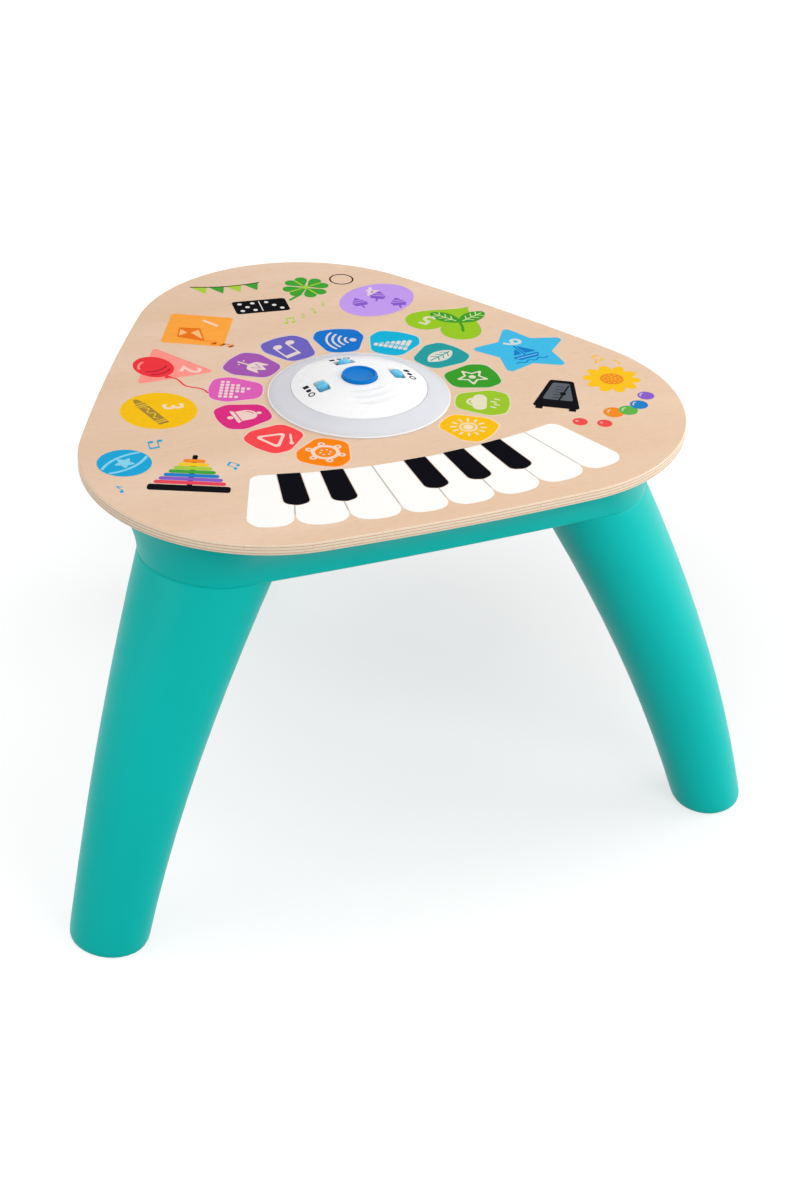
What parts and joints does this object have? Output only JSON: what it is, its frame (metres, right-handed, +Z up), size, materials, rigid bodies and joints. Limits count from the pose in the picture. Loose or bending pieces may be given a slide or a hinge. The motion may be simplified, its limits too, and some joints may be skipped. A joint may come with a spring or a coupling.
{
  "type": "musical activity table",
  "caption": "Low three-legged activity table with a rounded triangular plywood top, a lit control dome with a push button and slide knobs, and a moulded tray.",
  "frame": {"origin": "on the floor, under the middle of the whole object's box", "axes": "+Z up, -Y towards the side with the printed keyboard, +X to the right seen from there"},
  "size_m": [0.5896, 0.5376, 0.3717],
  "materials": {
    "plywood": "satin clear lacquer over beech face veneer, layered ply edge",
    "teal_plastic": "semi-gloss moulded plastic",
    "white_plastic": "gloss",
    "light_ring": "translucent satin",
    "blue_plastic": "gloss",
    "clear_blue": "transparent tint, faceted",
    "inner_plastic": "matte, unpainted",
    "black_plastic": "matte",
    "board": "solder mask",
    "film": "amber film",
    "copper": "bare copper pads",
    "steel": "zinc plated",
    "lead_red": "soft sheath",
    "lead_black": "soft sheath",
    "led": "diffused lens"
  },
  "bodies": {
    "table": {"top_panel": "plywood", "touch_film": "film", "touch_pads": "copper", "film_tail": "film", "tray": "teal_plastic", "leg_front_left": "teal_plastic", "leg_front_right": "teal_plastic", "leg_back": "teal_plastic", "leg_screws": "steel", "top_screws": "steel", "light_ring": "light_ring", "dome_cover": "white_plastic", "hub_base": "inner_plastic", "hub_screws": "steel", "button_spring": "steel", "button_switch": "black_plastic", "slide_switches": "black_plastic", "main_board": "board", "board_chips": "black_plastic", "ring_lights": "led", "board_screws": "steel", "speaker": "black_plastic", "speaker_clamp": "black_plastic", "speaker_screws": "steel", "battery_cells": "steel", "battery_contacts": "steel", "battery_leads": "lead_red", "speaker_leads": "lead_black"},
    "button": {"main_button": "blue_plastic"},
    "left_knob": {"left_slider": "clear_blue"},
    "right_knob": {"right_slider": "clear_blue"},
    "back_knob": {"back_slider": "clear_blue"},
    "door": {"battery_door": "teal_plastic", "door_screw": "steel"}
  },
  "joints": [
    {"name": "button_press", "type": "slide", "parent": "table", "child": "button", "axis": [0, 0, -1], "range_m": [0, 0.0015], "stiffness_N_per_m": 300, "springref_m": -0.003, "deforming": ["button_spring"]},
    {"name": "left_knob_slide", "type": "slide", "parent": "table", "child": "left_knob", "axis": [0, 1, 0], "range_m": [-0.003, 0.003]},
    {"name": "right_knob_slide", "type": "slide", "parent": "table", "child": "right_knob", "axis": [0, 1, 0], "range_m": [-0.003, 0.003]},
    {"name": "back_knob_slide", "type": "slide", "parent": "table", "child": "back_knob", "axis": [1, 0, 0], "range_m": [-0.003, 0.003]},
    {"name": "battery_door_tilt", "type": "hinge", "parent": "table", "child": "door", "pos_m": [0, -0.05419, 0.2933], "axis": [-1, 0, 0], "range_deg": [0, 40]}
  ]
}
